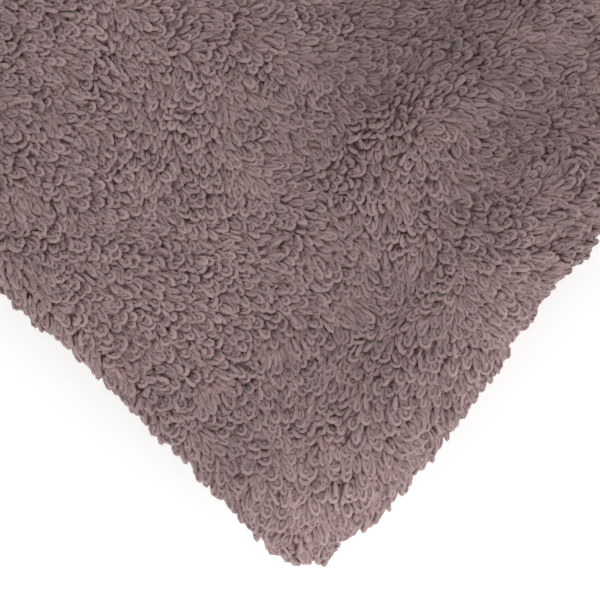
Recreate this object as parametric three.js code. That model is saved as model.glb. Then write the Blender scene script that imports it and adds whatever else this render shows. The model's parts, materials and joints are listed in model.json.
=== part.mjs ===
// A folded bath towel of looped terry cloth, as one closed solid.
// The towel is doubled along its length, so that it becomes a band of two layers with a fold along its front
// and its two side edges along its back. The band is then laid back and forth in four runs.
// Units are millimetres, +Z is up, and the origin is the middle of the footprint, on the surface below the towel.
// +X is the side with the two rolled turns, and -Y is the front, with the long fold of each run.
import * as THREE from "three";

// The flat towel
const towelWidth = 700;
const towelLength = 1300;
const layerThickness = 4.4; // the ground cloth with the loops of both faces
const hemThickness = 2.4; // the flat woven band at each end
const hemLength = 18;
const sideEdgeThickness = 2.0; // the narrow woven band along each side
const sideEdgeWidth = 8;
const pileSlope = 5; // how far the pile takes to reach its full height beside a woven band

// The fold
const layerGap = 0.6;
const upperRollX = 160; // centre of the turn that joins the two upper runs
const lowerRollX = 156.5; // the roll below it sits back a little
const topHemOverhang = 5; // how far the top hem reaches past the centre of the open side's turn
const bottomHemOverhang = 2;
const sideEdgeSkew = 2; // half of the step between the two side edges of a run

const bandPitch = 2 * (layerThickness + layerGap);
const layerMiddle = bandPitch / 4;
const bandHalf = layerMiddle + layerThickness / 2;
const runCount = 4;
const packHeight = runCount * bandPitch - layerGap;
const turnRadius = bandPitch / 2;
const turnLength = Math.PI * turnRadius;

// The runs take what the three turns and the two overhangs leave of the towel's length.
const openTurnX =
  (2 * (upperRollX + lowerRollX) + topHemOverhang + bottomHemOverhang + 3 * turnLength - towelLength) / 4;
const topHemX = openTurnX - topHemOverhang;
const bottomHemX = openTurnX - bottomHemOverhang;

// From the centre of the front fold to the side edges. The fold itself takes a quarter turn of each layer.
const foldToEdge = towelWidth / 2 - (Math.PI / 2) * layerMiddle;
const packDepth = foldToEdge + bandHalf;
const cornerX = upperRollX + turnRadius + bandHalf;
const cornerY = -packDepth / 2;

// How far the front fold sits back, at each place where a run meets a turn, from the top hem to the bottom hem
const frontSetBack = [
  { place: "top hem", back: 2.2 },
  { place: "run 4 at the rolls", back: 0 },
  { place: "run 3 at the rolls", back: 1.3 },
  { place: "run 3 at the open side", back: 3.4 },
  { place: "run 2 at the open side", back: 1.4 },
  { place: "run 2 at the rolls", back: 2.6 },
  { place: "run 1 at the rolls", back: 2.0 },
  { place: "bottom hem", back: 0.8 },
];

// Soft troughs and ridges of the top, from one plan point to another. u runs from the rolls' edge towards -X and
// v from the front edge towards +Y. A positive height is a ridge.
const creases = [
  { name: "swell over the roll", u0: 10.5, v0: 14, u1: 11, v1: 330, halfWidth: 7, height: 1.1 },
  { name: "dip behind the roll, near the corner", u0: 19.5, v0: 18, u1: 20.5, v1: 42, halfWidth: 6, height: -2.0 },
  { name: "dip behind the roll, further back", u0: 21.5, v0: 62, u1: 22, v1: 130, halfWidth: 6, height: -1.7 },
  { name: "ridge between the dips", u0: 33, v0: 14, u1: 34, v1: 120, halfWidth: 8, height: 1.1 },
  { name: "deep crease, faint end", u0: 54, v0: 22, u1: 49, v1: 36, halfWidth: 6, height: -0.8 },
  { name: "deep crease", u0: 43.5, v0: 50, u1: 42, v1: 120, halfWidth: 7, height: -2.6 },
  { name: "ridge past the crease", u0: 60, v0: 40, u1: 64, v1: 110, halfWidth: 10, height: 0.9 },
  { name: "dip along the front fold", u0: 34, v0: 6.5, u1: 66, v1: 7, halfWidth: 5, height: -0.8 },
  { name: "long hollow across the middle", u0: 120, v0: 60, u1: 200, v1: 270, halfWidth: 34, height: -1.3 },
  { name: "swell beside the open side", u0: 262, v0: 40, u1: 278, v1: 210, halfWidth: 32, height: 1.1 },
  { name: "slack behind the rolls, at the back", u0: 48, v0: 210, u1: 92, v1: 318, halfWidth: 22, height: -1.2 },
];

// Outline of the rolls' edge: how far it stands out, by distance from the front corner
const rollOutline = [
  { at: 0, out: 0.4 },
  { at: 7, out: 1.5 },
  { at: 17, out: 3.5 },
  { at: 28, out: 3.6 },
  { at: 40, out: 2.6 },
  { at: 62, out: 0.1 },
  { at: 110, out: 0.2 },
  { at: 180, out: 1.8 },
  { at: 250, out: 0.4 },
  { at: 350, out: 1.2 },
];

// Outline of the front edge: how far it sits back, by distance from the rolls' corner
const frontOutline = [
  { at: 0, back: -1.9 },
  { at: 14, back: -0.6 },
  { at: 30, back: 0.4 },
  { at: 45, back: 1.4 },
  { at: 67, back: 1.2 },
  { at: 130, back: 0.3 },
  { at: 220, back: 2.2 },
  { at: 330, back: 0.5 },
];
const outlineReach = 70; // the outlines fade out over this distance from their edges

// Where the thin woven bands lie on each other, the pack is lower.
const backDrop = { share: 0.2, reach: 34 };
const openDrop = { share: 0.16, reach: 48 };
const slowWaves = [
  { lengthX: 270, lengthY: 410, phaseX: 0.6, phaseY: 0.3, share: 0.022 },
  { lengthX: 390, lengthY: 230, phaseX: 2.1, phaseY: 1.4, share: 0.016 },
];

// Distances from the turn's centre at which a run has a section. The upper runs carry the creases.
const upperStops = [0, 4.5, 10, 16.5, 23, 29.5, 36, 44, 58, 80, 112, 150, 190, 228, 262, 287, 301];
const lowerStops = [0, 20, 58, 112, 170, 228, 262, 287, 301];
const turnSteps = 7;
// Distances from the front corner at which a section has points, between its fold and its side edge
const depthStops = [11, 20, 31, 42, 54, 70, 92, 125, 175, 230, 280, 312];
const foldSteps = 6;
const innerFoldSteps = 2;

const smooth = (t) => {
  const c = Math.min(1, Math.max(0, t));
  return c * c * (3 - 2 * c);
};

// The value of a table's column at a distance, easing from row to row
function fromTable(table, column, at) {
  const last = table.length - 1;
  const next = table.findIndex((row) => row.at > at);
  if (next < 0) return table[last][column];
  if (next === 0) return table[0][column];
  const [a, b] = [table[next - 1], table[next]];
  return a[column] + (b[column] - a[column]) * smooth((at - a.at) / (b.at - a.at));
}

// How far a plan point lies from a crease's line
function distanceToCrease(u, v, crease) {
  const [du, dv] = [crease.u1 - crease.u0, crease.v1 - crease.v0];
  const along = ((u - crease.u0) * du + (v - crease.v0) * dv) / (du * du + dv * dv);
  const t = Math.min(1, Math.max(0, along));
  return Math.hypot(u - crease.u0 - t * du, v - crease.v0 - t * dv);
}

function creaseHeight(u, v) {
  const bump = (c) => c.height * Math.exp(-((distanceToCrease(u, v, c) / c.halfWidth) ** 2));
  return creases.reduce((sum, c) => sum + bump(c), 0);
}

// The share of its full height that the pack has at a plan point
function heightShare(x, y) {
  const fromBack = packDepth / 2 - y;
  const fromOpenSide = x - (openTurnX - turnRadius - bandHalf);
  const wave = slowWaves.reduce(
    (sum, w) =>
      sum +
      w.share *
        Math.sin((2 * Math.PI * x) / w.lengthX + w.phaseX) *
        Math.cos((2 * Math.PI * y) / w.lengthY + w.phaseY),
    0,
  );
  return (
    1 +
    wave -
    backDrop.share * smooth(1 - fromBack / backDrop.reach) -
    openDrop.share * smooth(1 - fromOpenSide / openDrop.reach)
  );
}

// Moves a point of the neatly folded towel to where the cloth has settled. The floor stays flat.
function settle(x, y, z) {
  const [u, v] = [cornerX - x, y - cornerY];
  const upper = smooth((2 * z) / packHeight - 1);
  return new THREE.Vector3(
    x + fromTable(rollOutline, "out", v) * smooth(1 - u / outlineReach),
    y + fromTable(frontOutline, "back", u) * smooth(1 - v / outlineReach),
    z * heightShare(x, y) + creaseHeight(u, v) * upper,
  );
}

// Stations along the band, from the top hem to the bottom hem. Each has its place in the XZ plane, the band's
// upward normal there, how far its fold sits back, and the thickness of its layers.
function bandStations() {
  const levelZ = (level) => bandHalf + (level - 1) * bandPitch;
  const back = frontSetBack.map((row) => row.back);
  const stations = [];

  const addRun = (level, stops, direction, backFrom, backTo) => {
    const [start, end] = [stops[0], stops[stops.length - 1]];
    stops.forEach((x) => {
      const t = (x - start) / (end - start);
      stations.push({
        x,
        z: levelZ(level),
        normalX: 0,
        normalZ: direction,
        back: backFrom + (backTo - backFrom) * smooth(t),
        thickness: layerThickness,
      });
    });
  };
  // side is 1 for a turn at +X and -1 for one at -X. Both lead down to the next run.
  const addTurn = (centreX, upperLevel, side, backFrom, backTo) => {
    for (let i = 1; i < turnSteps; i += 1) {
      const angle = (Math.PI * i) / turnSteps;
      stations.push({
        x: centreX + side * turnRadius * Math.sin(angle),
        z: levelZ(upperLevel) - turnRadius + turnRadius * Math.cos(angle),
        normalX: Math.sin(angle),
        normalZ: side * Math.cos(angle),
        back: backFrom + (backTo - backFrom) * smooth(i / turnSteps),
        thickness: layerThickness,
      });
    }
  };
  // A run's stops from the open side to the rolls
  const outward = (rollX, stops) => [openTurnX, ...stops.map((d) => rollX - d).reverse()];
  const upper = outward(upperRollX, upperStops);
  const lower = outward(lowerRollX, lowerStops);
  // The extra stops of a run that ends in a hem, nearest its end first
  const hemStops = (hemX) => [hemX, hemX + hemLength, hemX + hemLength + pileSlope];
  const withHem = (hemX, stops) => {
    const hem = hemStops(hemX);
    return [...hem, ...stops.filter((x) => x > hem[2] + pileSlope)];
  };

  addRun(4, withHem(topHemX, upper), 1, back[0], back[1]);
  addTurn(upperRollX, 4, 1, back[1], back[2]);
  addRun(3, [...upper].reverse(), -1, back[2], back[3]);
  addTurn(openTurnX, 3, -1, back[3], back[4]);
  addRun(2, lower, 1, back[4], back[5]);
  addTurn(lowerRollX, 2, 1, back[5], back[6]);
  addRun(1, withHem(bottomHemX, lower).reverse(), -1, back[6], back[7]);

  for (const i of [0, 1, stations.length - 2, stations.length - 1]) stations[i].thickness = hemThickness;
  return stations;
}

// The outline of the doubled band across its length, as [y, height above the band's middle] pairs: out along the
// upper layer, round the fold, back along the lower layer, and the same way along the faces between the layers.
function bandSection(station) {
  const half = station.thickness / 2;
  const edgeHalf = Math.min(half, sideEdgeThickness / 2);
  const foldY = cornerY + bandHalf + station.back;
  const middle = depthStops.map((d) => [cornerY + d, half]);
  // One layer's face from the fold to its side edge, as [y, half thickness] pairs
  const face = (skew) => {
    const edgeY = foldY + foldToEdge + skew;
    return [
      ...middle,
      [edgeY - sideEdgeWidth - pileSlope, half],
      [edgeY - sideEdgeWidth, edgeHalf],
      [edgeY, edgeHalf],
    ];
  };
  const bend = (radius, steps) =>
    Array.from({ length: steps + 1 }, (_, i) => {
      const angle = (Math.PI * i) / steps;
      return [foldY - radius * Math.sin(angle), radius * Math.cos(angle)];
    });
  const [upperFace, lowerFace] = [face(sideEdgeSkew), face(-sideEdgeSkew)];
  return [
    ...[...upperFace].reverse().map(([y, h]) => [y, layerMiddle + h]),
    ...bend(layerMiddle + half, foldSteps),
    ...lowerFace.map(([y, h]) => [y, -layerMiddle - h]),
    ...[...lowerFace].reverse().map(([y, h]) => [y, -layerMiddle + h]),
    ...bend(layerMiddle - half, innerFoldSteps).reverse(),
    ...upperFace.map(([y, h]) => [y, layerMiddle - h]),
  ];
}

// One closed surface through the sections of all stations, with a flat face at each hem
function foldedTowel() {
  const stations = bandStations();
  const sections = stations.map(bandSection);
  const count = sections[0].length;
  const positions = stations.flatMap((s, i) =>
    sections[i].flatMap(([y, h]) => settle(s.x + s.normalX * h, y, s.z + s.normalZ * h).toArray()),
  );
  const indices = [];
  for (let i = 0; i + 1 < stations.length; i += 1) {
    for (let j = 0; j < count; j += 1) {
      const next = (j + 1) % count;
      const [a, b] = [i * count + j, i * count + next];
      const [c, d] = [a + count, b + count];
      indices.push(a, b, d, a, d, c);
    }
  }
  const capFaces = (section) =>
    THREE.ShapeUtils.triangulateShape(
      section.map(([y, h]) => new THREE.Vector2(y, h)),
      [],
    );
  const lastStart = (stations.length - 1) * count;
  for (const [a, b, c] of capFaces(sections[0])) indices.push(a, c, b);
  for (const [a, b, c] of capFaces(sections[sections.length - 1])) {
    indices.push(lastStart + a, lastStart + b, lastStart + c);
  }
  const geometry = new THREE.BufferGeometry();
  geometry.setAttribute("position", new THREE.Float32BufferAttribute(positions, 3));
  geometry.setIndex(indices);

  // The settled outline isn't quite centred, so the origin is put at the middle of its footprint.
  geometry.computeBoundingBox();
  const { min, max } = geometry.boundingBox;
  geometry.translate(-(min.x + max.x) / 2, -(min.y + max.y) / 2, -min.z);
  geometry.computeVertexNormals();
  return geometry;
}

const terry = new THREE.MeshStandardMaterial({ color: 0x8f7b7a, roughness: 0.95, metalness: 0 });

const towel = new THREE.Mesh(foldedTowel(), terry);
towel.name = "towel";

const part = new THREE.Group();
part.add(towel);

export default part;
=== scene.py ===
"""A folded bath towel of looped terry cloth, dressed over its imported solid.

The towel's fold is worked out from its flat size. Every point of the cloth is named by its distance along the
towel, its distance across it and its height above the cloth's middle, and a FoldedCloth says where that lies.
The ground cloth, the loops of its pile and the stitches of its hems all stand on it.
"""

from __future__ import annotations

import json
import logging
import math
from dataclasses import dataclass, field
from enum import Enum
from typing import Any, Sequence

import bpy
import numpy as np
from mathutils import Matrix, Vector
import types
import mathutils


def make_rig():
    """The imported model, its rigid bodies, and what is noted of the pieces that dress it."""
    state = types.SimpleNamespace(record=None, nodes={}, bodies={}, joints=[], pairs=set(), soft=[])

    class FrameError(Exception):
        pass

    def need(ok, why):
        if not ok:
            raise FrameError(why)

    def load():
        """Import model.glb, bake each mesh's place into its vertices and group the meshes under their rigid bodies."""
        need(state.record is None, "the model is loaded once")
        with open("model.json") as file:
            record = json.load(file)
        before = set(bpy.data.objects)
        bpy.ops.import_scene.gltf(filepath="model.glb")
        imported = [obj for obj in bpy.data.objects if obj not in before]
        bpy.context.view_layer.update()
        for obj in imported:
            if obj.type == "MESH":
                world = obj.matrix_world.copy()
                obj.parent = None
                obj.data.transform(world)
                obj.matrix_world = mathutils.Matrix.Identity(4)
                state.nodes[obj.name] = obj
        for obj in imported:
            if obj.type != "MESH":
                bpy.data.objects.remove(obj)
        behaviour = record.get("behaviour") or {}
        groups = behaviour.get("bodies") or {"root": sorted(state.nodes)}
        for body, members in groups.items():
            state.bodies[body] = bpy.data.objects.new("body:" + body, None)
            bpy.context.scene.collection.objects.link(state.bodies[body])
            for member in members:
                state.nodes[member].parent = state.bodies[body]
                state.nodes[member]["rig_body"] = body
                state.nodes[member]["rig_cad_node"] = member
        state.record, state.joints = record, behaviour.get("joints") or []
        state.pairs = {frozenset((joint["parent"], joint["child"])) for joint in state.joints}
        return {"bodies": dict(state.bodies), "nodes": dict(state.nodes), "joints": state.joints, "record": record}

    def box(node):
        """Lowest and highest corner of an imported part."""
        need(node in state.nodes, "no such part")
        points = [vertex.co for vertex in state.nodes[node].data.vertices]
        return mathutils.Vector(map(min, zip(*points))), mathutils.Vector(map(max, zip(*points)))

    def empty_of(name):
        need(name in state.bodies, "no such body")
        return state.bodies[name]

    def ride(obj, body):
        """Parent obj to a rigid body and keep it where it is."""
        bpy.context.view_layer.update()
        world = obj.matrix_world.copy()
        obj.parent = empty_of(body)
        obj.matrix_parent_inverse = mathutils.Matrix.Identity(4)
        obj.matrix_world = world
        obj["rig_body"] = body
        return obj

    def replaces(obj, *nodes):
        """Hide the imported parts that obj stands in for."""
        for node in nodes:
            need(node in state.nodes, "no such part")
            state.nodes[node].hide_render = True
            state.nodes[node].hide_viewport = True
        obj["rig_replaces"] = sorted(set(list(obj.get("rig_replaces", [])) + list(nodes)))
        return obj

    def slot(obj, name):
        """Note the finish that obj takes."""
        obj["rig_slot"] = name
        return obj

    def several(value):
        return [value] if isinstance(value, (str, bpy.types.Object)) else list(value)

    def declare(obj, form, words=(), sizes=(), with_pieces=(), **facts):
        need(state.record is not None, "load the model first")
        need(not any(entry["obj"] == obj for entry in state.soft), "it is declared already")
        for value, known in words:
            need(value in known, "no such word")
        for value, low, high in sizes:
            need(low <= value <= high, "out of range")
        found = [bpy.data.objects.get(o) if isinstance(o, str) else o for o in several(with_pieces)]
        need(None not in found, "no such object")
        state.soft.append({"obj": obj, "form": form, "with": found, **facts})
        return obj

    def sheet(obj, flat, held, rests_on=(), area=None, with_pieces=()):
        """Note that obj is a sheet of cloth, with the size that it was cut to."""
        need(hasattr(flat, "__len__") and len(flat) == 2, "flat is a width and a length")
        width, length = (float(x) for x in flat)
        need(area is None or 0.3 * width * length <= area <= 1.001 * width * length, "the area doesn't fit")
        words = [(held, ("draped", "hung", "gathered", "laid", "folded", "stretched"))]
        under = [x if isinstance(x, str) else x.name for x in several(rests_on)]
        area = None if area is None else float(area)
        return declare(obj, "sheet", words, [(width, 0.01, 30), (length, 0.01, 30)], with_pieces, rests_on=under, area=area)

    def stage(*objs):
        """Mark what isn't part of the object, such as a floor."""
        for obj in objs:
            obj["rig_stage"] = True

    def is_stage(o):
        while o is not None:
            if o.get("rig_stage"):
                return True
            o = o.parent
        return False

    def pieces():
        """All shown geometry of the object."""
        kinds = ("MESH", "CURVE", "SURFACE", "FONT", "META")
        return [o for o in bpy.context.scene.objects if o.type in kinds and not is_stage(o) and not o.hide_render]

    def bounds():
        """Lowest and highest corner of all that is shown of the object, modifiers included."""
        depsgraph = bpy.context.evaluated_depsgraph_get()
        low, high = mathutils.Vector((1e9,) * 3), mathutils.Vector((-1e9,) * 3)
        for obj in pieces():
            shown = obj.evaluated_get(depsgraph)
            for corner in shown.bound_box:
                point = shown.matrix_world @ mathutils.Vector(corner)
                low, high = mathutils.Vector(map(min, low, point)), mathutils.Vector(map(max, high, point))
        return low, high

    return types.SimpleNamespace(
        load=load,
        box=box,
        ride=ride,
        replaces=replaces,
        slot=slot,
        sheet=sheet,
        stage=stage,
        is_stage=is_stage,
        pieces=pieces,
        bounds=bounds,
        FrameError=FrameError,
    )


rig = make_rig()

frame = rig.load()
CAD_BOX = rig.bounds()

log = logging.getLogger("towel")

Array = np.ndarray
Pair = tuple[Array, Array]
Span = tuple[float, float]
Rows = tuple[Span, ...]
Colour = tuple[float, float, float]
MM = 0.001
NODE = "towel"
BODY = "root"
SLOT = "terry"
IMAGE_SIDE = 600


def smooth(t: Array | float) -> Array:
    """Eases from 0 to 1 as t does, and holds there."""
    c = np.clip(t, 0.0, 1.0)
    return c * c * (3.0 - 2.0 * c)


def within(value: Array, low: float, high: float, soft: float) -> Array:
    """Returns 1 between low and high, falling to 0 over soft on either side."""
    return smooth((value - low) / soft + 1.0) * smooth((high - value) / soft + 1.0)


def blend(low: Any, high: Any, share: Array) -> Array:
    """Returns what lies between two values: low at a share of 0, and high at 1."""
    return low + (high - low) * share


def pairs(first: Array, second: Array) -> Pair:
    """Returns every pair of two rows of values, as two long rows."""
    return np.repeat(first, len(second)), np.tile(second, len(first))


def unit(v: Array) -> Array:
    """Scales each row of v to a length of one."""
    return v / np.maximum(np.linalg.norm(v, axis=-1, keepdims=True), 1e-12)


def direction(heading: float, height: float) -> Vector:
    """Returns the way that looks along a heading from +X and up by a height, both in degrees."""
    a, e = math.radians(heading), math.radians(height)
    return Vector((math.cos(a) * math.cos(e), math.sin(a) * math.cos(e), math.sin(e)))


# The fold


@dataclass(frozen=True)
class Crease:
    """A soft trough or ridge of the towel's top, from one plan point to another, in mm from the corner."""

    u0: float
    v0: float
    u1: float
    v1: float
    half_width: float
    height: float


@dataclass(frozen=True)
class Wave:
    """A long, low undulation of the whole towel."""

    length_x: float
    length_y: float
    phase_x: float
    phase_y: float
    share: float


@dataclass(frozen=True)
class FoldPlan:
    """Sizes of the towel and of its fold, in millimetres, as its solid has them."""

    towel_width: float = 700.0
    towel_length: float = 1300.0
    layer_thickness: float = 4.4
    layer_gap: float = 0.6
    upper_roll_x: float = 160.0
    lower_roll_x: float = 156.5
    top_hem_overhang: float = 5.0
    bottom_hem_overhang: float = 2.0
    side_edge_skew: float = 2.0
    hem_length: float = 18.0
    side_edge_width: float = 8.0
    pile_slope: float = 5.0
    run_count: int = 4
    set_back: tuple[float, ...] = (2.2, 0.0, 1.3, 3.4, 1.4, 2.6, 2.0, 0.8)
    creases: tuple[Crease, ...] = tuple(Crease(*row) for row in (
        (10.5, 14, 11, 330, 7, 1.1), (19.5, 18, 20.5, 42, 6, -2.0), (21.5, 62, 22, 130, 6, -1.7),
        (33, 14, 34, 120, 8, 1.1), (54, 22, 49, 36, 6, -0.8), (43.5, 50, 42, 120, 7, -2.6),
        (60, 40, 64, 110, 10, 0.9), (34, 6.5, 66, 7, 5, -0.8), (120, 60, 200, 270, 34, -1.3),
        (262, 40, 278, 210, 32, 1.1), (48, 210, 92, 318, 22, -1.2),
    ))  # fmt: skip
    roll_outline: Rows = (
        (0, 0.4), (7, 1.5), (17, 3.5), (28, 3.6), (40, 2.6), (62, 0.1), (110, 0.2), (180, 1.8), (250, 0.4),
        (350, 1.2),
    )  # fmt: skip
    front_outline: Rows = (
        (0, -1.9), (14, -0.6), (30, 0.4), (45, 1.4), (67, 1.2), (130, 0.3), (220, 2.2), (330, 0.5),
    )  # fmt: skip
    outline_reach: float = 70.0
    back_drop: Span = (0.2, 34.0)
    open_drop: Span = (0.16, 48.0)
    waves: tuple[Wave, ...] = (Wave(270, 410, 0.6, 0.3, 0.022), Wave(390, 230, 2.1, 1.4, 0.016))

    @property
    def pitch(self) -> float:
        """Height of one run, with the gap above it."""
        return 2 * (self.layer_thickness + self.layer_gap)

    @property
    def layer_middle(self) -> float:
        """From the middle of the doubled band to the middle of either layer."""
        return self.pitch / 4

    @property
    def band_half(self) -> float:
        """Half the thickness of the doubled band."""
        return self.layer_middle + self.layer_thickness / 2

    @property
    def pack_height(self) -> float:
        """Height of the neatly folded towel."""
        return self.run_count * self.pitch - self.layer_gap

    @property
    def turn_radius(self) -> float:
        """Radius of the band's middle line in a turn."""
        return self.pitch / 2

    @property
    def open_turn_x(self) -> float:
        """Centre of the turn at the open side, which takes what the towel's length leaves."""
        runs = 2 * (self.upper_roll_x + self.lower_roll_x) + self.top_hem_overhang + self.bottom_hem_overhang
        return (runs + 3 * math.pi * self.turn_radius - self.towel_length) / 4

    @property
    def fold_to_edge(self) -> float:
        """From the centre of the front fold to the middle of the two side edges."""
        return self.towel_width / 2 - math.pi / 2 * self.layer_middle

    @property
    def pack_depth(self) -> float:
        """Depth of the neatly folded towel, along Y."""
        return self.fold_to_edge + self.band_half

    @property
    def corner(self) -> Span:
        """Plan place of the front corner beside the rolls."""
        return self.upper_roll_x + self.turn_radius + self.band_half, -self.pack_depth / 2


class FoldedCloth:
    """Says where each point of the flat towel lies in the folded one."""

    def __init__(self, plan: FoldPlan) -> None:
        """Lays the band's legs one after the other: a straight run, a turn, and so on.

        Args:
            plan: the towel's sizes.
        """
        self.plan = plan
        r, open_x, legs = plan.turn_radius, plan.open_turn_x, []
        hems = open_x - plan.top_hem_overhang, open_x - plan.bottom_hem_overhang
        stops = hems[0], plan.upper_roll_x, open_x, plan.lower_roll_x, hems[1]
        for i, (here, there) in enumerate(zip(stops, stops[1:])):
            z = plan.band_half + (plan.run_count - 1 - i) * plan.pitch
            tilt, side = math.pi * (i % 2), 1 - 2 * (i % 2)
            legs.append((abs(there - here), here, there, z, 0, tilt, tilt))
            legs.append((math.pi * r, there, there, z - r, side, tilt, math.pi - tilt))
        self.legs = np.array(legs[:-1])
        self.ends = np.concatenate([[0.0], np.cumsum(self.legs[:, 0])])
        self.length = float(self.ends[-1])
        self.width = plan.towel_width
        self.fold_start = plan.fold_to_edge + plan.side_edge_skew
        self.fold_length = math.pi * plan.layer_middle
        self.fold_end = self.fold_start + self.fold_length
        self.turns = [(self.ends[i], self.ends[i + 1]) for i in (1, 3, 5)]
        self.shift = np.zeros(3)
        self.shift = self._centring()
        self.corner = np.array(plan.corner) + self.shift[:2]

    def _centring(self) -> Array:
        """Compares the cloth's footprint with the solid's.

        Returns:
            The move that brings the one over the other.
        """
        low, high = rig.box(NODE)
        s, q = pairs(np.linspace(0, self.length, 900), np.linspace(0, self.width, 500))
        p = self.place(s, q, np.full(s.shape, self.plan.layer_thickness / 2))
        middle = (np.array(low) + high) / 2 / MM - (p.min(0) + p.max(0)) / 2
        return np.array([middle[0], middle[1], 0.0])

    def _stations(self, s: Array) -> tuple[Array, Array, Array, Array]:
        """Returns the band's x, z, tilt and set-back at distances along the towel.

        Args:
            s: distances from the top hem.

        Returns:
            Four arrays. The tilt is the angle of the band's upward normal from +Z towards +X.
        """
        i = np.clip(np.searchsorted(self.ends, s, "right") - 1, 0, len(self.legs) - 1)
        length, x_from, x_to, z, side, tilt_from, tilt_to = self.legs[i].T
        t = (s - self.ends[i]) / length
        tilt = blend(tilt_from, tilt_to, t)
        r, back = side * self.plan.turn_radius, np.array(self.plan.set_back)
        x = blend(x_from, x_to, t) + r * np.sin(tilt)
        return x, z + r * np.cos(tilt), tilt, blend(back[i], back[i + 1], smooth(t))

    @staticmethod
    def _eased(rows: Rows, at: Array) -> Array:
        """Eases from row to row of a table.

        Args:
            rows: places and the values there.
            at: the places asked for.

        Returns:
            The values at those places.
        """
        places, values = np.array(rows, float).T
        i = np.clip(np.searchsorted(places, at, "right") - 1, 0, len(places) - 2)
        return blend(values[i], values[i + 1], smooth((at - places[i]) / (places[i + 1] - places[i])))

    def _crease_height(self, u: Array, v: Array) -> Array:
        """Adds up the creases.

        Args:
            u: distances from the front corner away from the rolls, in mm.
            v: distances from it towards the back.

        Returns:
            The height that they add at each point.
        """
        total = np.zeros_like(u)
        for c in self.plan.creases:
            du, dv = c.u1 - c.u0, c.v1 - c.v0
            t = np.clip(((u - c.u0) * du + (v - c.v0) * dv) / (du * du + dv * dv), 0, 1)
            away = np.hypot(u - c.u0 - t * du, v - c.v0 - t * dv)
            total += c.height * np.exp(-((away / c.half_width) ** 2))
        return total

    def _height_share(self, x: Array, y: Array) -> Array:
        """Works out how much of its full height the towel has.

        Args:
            x: places from the rolls' side to the open side, in mm.
            y: places from the front to the back.

        Returns:
            The share at each point.
        """
        p = self.plan
        from_back = p.pack_depth / 2 - y
        from_open = x - (p.open_turn_x - p.turn_radius - p.band_half)
        share = 1 - p.back_drop[0] * smooth(1 - from_back / p.back_drop[1])
        share = share - p.open_drop[0] * smooth(1 - from_open / p.open_drop[1])
        for w in p.waves:
            along = np.sin(2 * math.pi * x / w.length_x + w.phase_x)
            share = share + w.share * along * np.cos(2 * math.pi * y / w.length_y + w.phase_y)
        return share

    def borders(self, s: Array, q: Array) -> Pair:
        """Returns how far points are from the woven side edges, and how far from the hems, in mm."""
        edge, hem = self.plan.side_edge_width, self.plan.hem_length
        return np.minimum(q, self.width - q) - edge, np.minimum(s, self.length - s) - hem

    def place(self, s: Array, q: Array, h: Array) -> Array:
        """Places points of the cloth in the folded towel.

        Args:
            s: distances along the towel, from the top hem, in mm.
            q: distances across it, from the side edge that lies uppermost, in mm.
            h: heights above the middle of the cloth, outwards from the doubled band, in mm.

        Returns:
            One row of x, y and z for each point, in mm.
        """
        p, m = self.plan, self.plan.layer_middle
        x, z, tilt, back = self._stations(s)
        angle = np.clip((q - self.fold_start) / m, 0.0, math.pi)
        straight = np.where(q < self.fold_start, self.fold_start - q, np.maximum(q - self.fold_end, 0.0))
        v = p.band_half + back + straight - (m + h) * np.sin(angle)
        w = (m + h) * np.cos(angle)
        x, y, z = x + np.sin(tilt) * w, v + p.corner[1], z + np.cos(tilt) * w
        u, upper = p.corner[0] - x, smooth(2 * z / p.pack_height - 1)
        moved = (
            x + self._eased(p.roll_outline, v) * smooth(1 - u / p.outline_reach),
            y + self._eased(p.front_outline, u) * smooth(1 - v / p.outline_reach),
            z * self._height_share(x, y) + self._crease_height(u, v) * upper,
        )
        return np.stack(moved, axis=-1) + self.shift

    def frames(self, s: Array, q: Array, h: Array, face: int) -> Pair:
        """Returns points on the cloth and the directions that point away from its face there.

        Args:
            s: distances along the towel.
            q: distances across it.
            h: heights above the middle of the cloth.
            face: 1 for the band's outer face and -1 for the inner one.

        Returns:
            The points in mm, and the unit normals.
        """
        near, above = 0.4, 0.1
        along = self.place(s + near, q, h) - self.place(s - near, q, h)
        across = self.place(s, q + near, h) - self.place(s, q - near, h)
        normal = unit(np.cross(across, along))
        at = self.place(s, q, h)
        outward = self.place(s, q, h + above) - at
        return at, normal * np.sign(np.sum(normal * outward, axis=1, keepdims=True)) * face


# Meshes


@dataclass
class MeshParts:
    """Arrays of one mesh: points in mm, faces of four and of three corners, and values by point."""

    points: Array
    quads: Array
    triangles: Array = field(default_factory=lambda: np.zeros((0, 3), int))
    values: dict[str, Array] = field(default_factory=dict)
    places: dict[str, Array] = field(default_factory=dict)

    def build(self, name: str, material: bpy.types.Material) -> bpy.types.Object:
        """Makes the object, smooth shaded, at the origin.

        Args:
            name: the piece's name.
            material: its finish.

        Returns:
            The new object.
        """
        mesh = bpy.data.meshes.new(name)
        corners = np.concatenate([self.quads.ravel(), self.triangles.ravel()]).astype(np.int32)
        counts = np.concatenate([np.full(len(self.quads), 4), np.full(len(self.triangles), 3)])
        starts = np.concatenate([[0], np.cumsum(counts)[:-1]])
        mesh.vertices.add(len(self.points))
        mesh.vertices.foreach_set("co", (self.points * MM).astype(np.float32).ravel())
        mesh.loops.add(len(corners))
        mesh.loops.foreach_set("vertex_index", corners)
        mesh.polygons.add(len(counts))
        mesh.polygons.foreach_set("loop_start", starts.astype(np.int32))
        mesh.polygons.foreach_set("use_smooth", np.ones(len(counts), bool))
        mesh.update(calc_edges=True)
        mesh.validate()
        for key, value in self.values.items():
            layer = mesh.attributes.new(key, "FLOAT", "POINT")
            layer.data.foreach_set("value", value.astype(np.float32).ravel())
        for key, place in self.places.items():
            layer = mesh.uv_layers.new(name=key)
            layer.data.foreach_set("uv", place[corners].astype(np.float32).ravel())
        mesh.materials.append(material)
        made = bpy.data.objects.new(name, mesh)
        bpy.context.scene.collection.objects.link(made)
        return made


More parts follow.
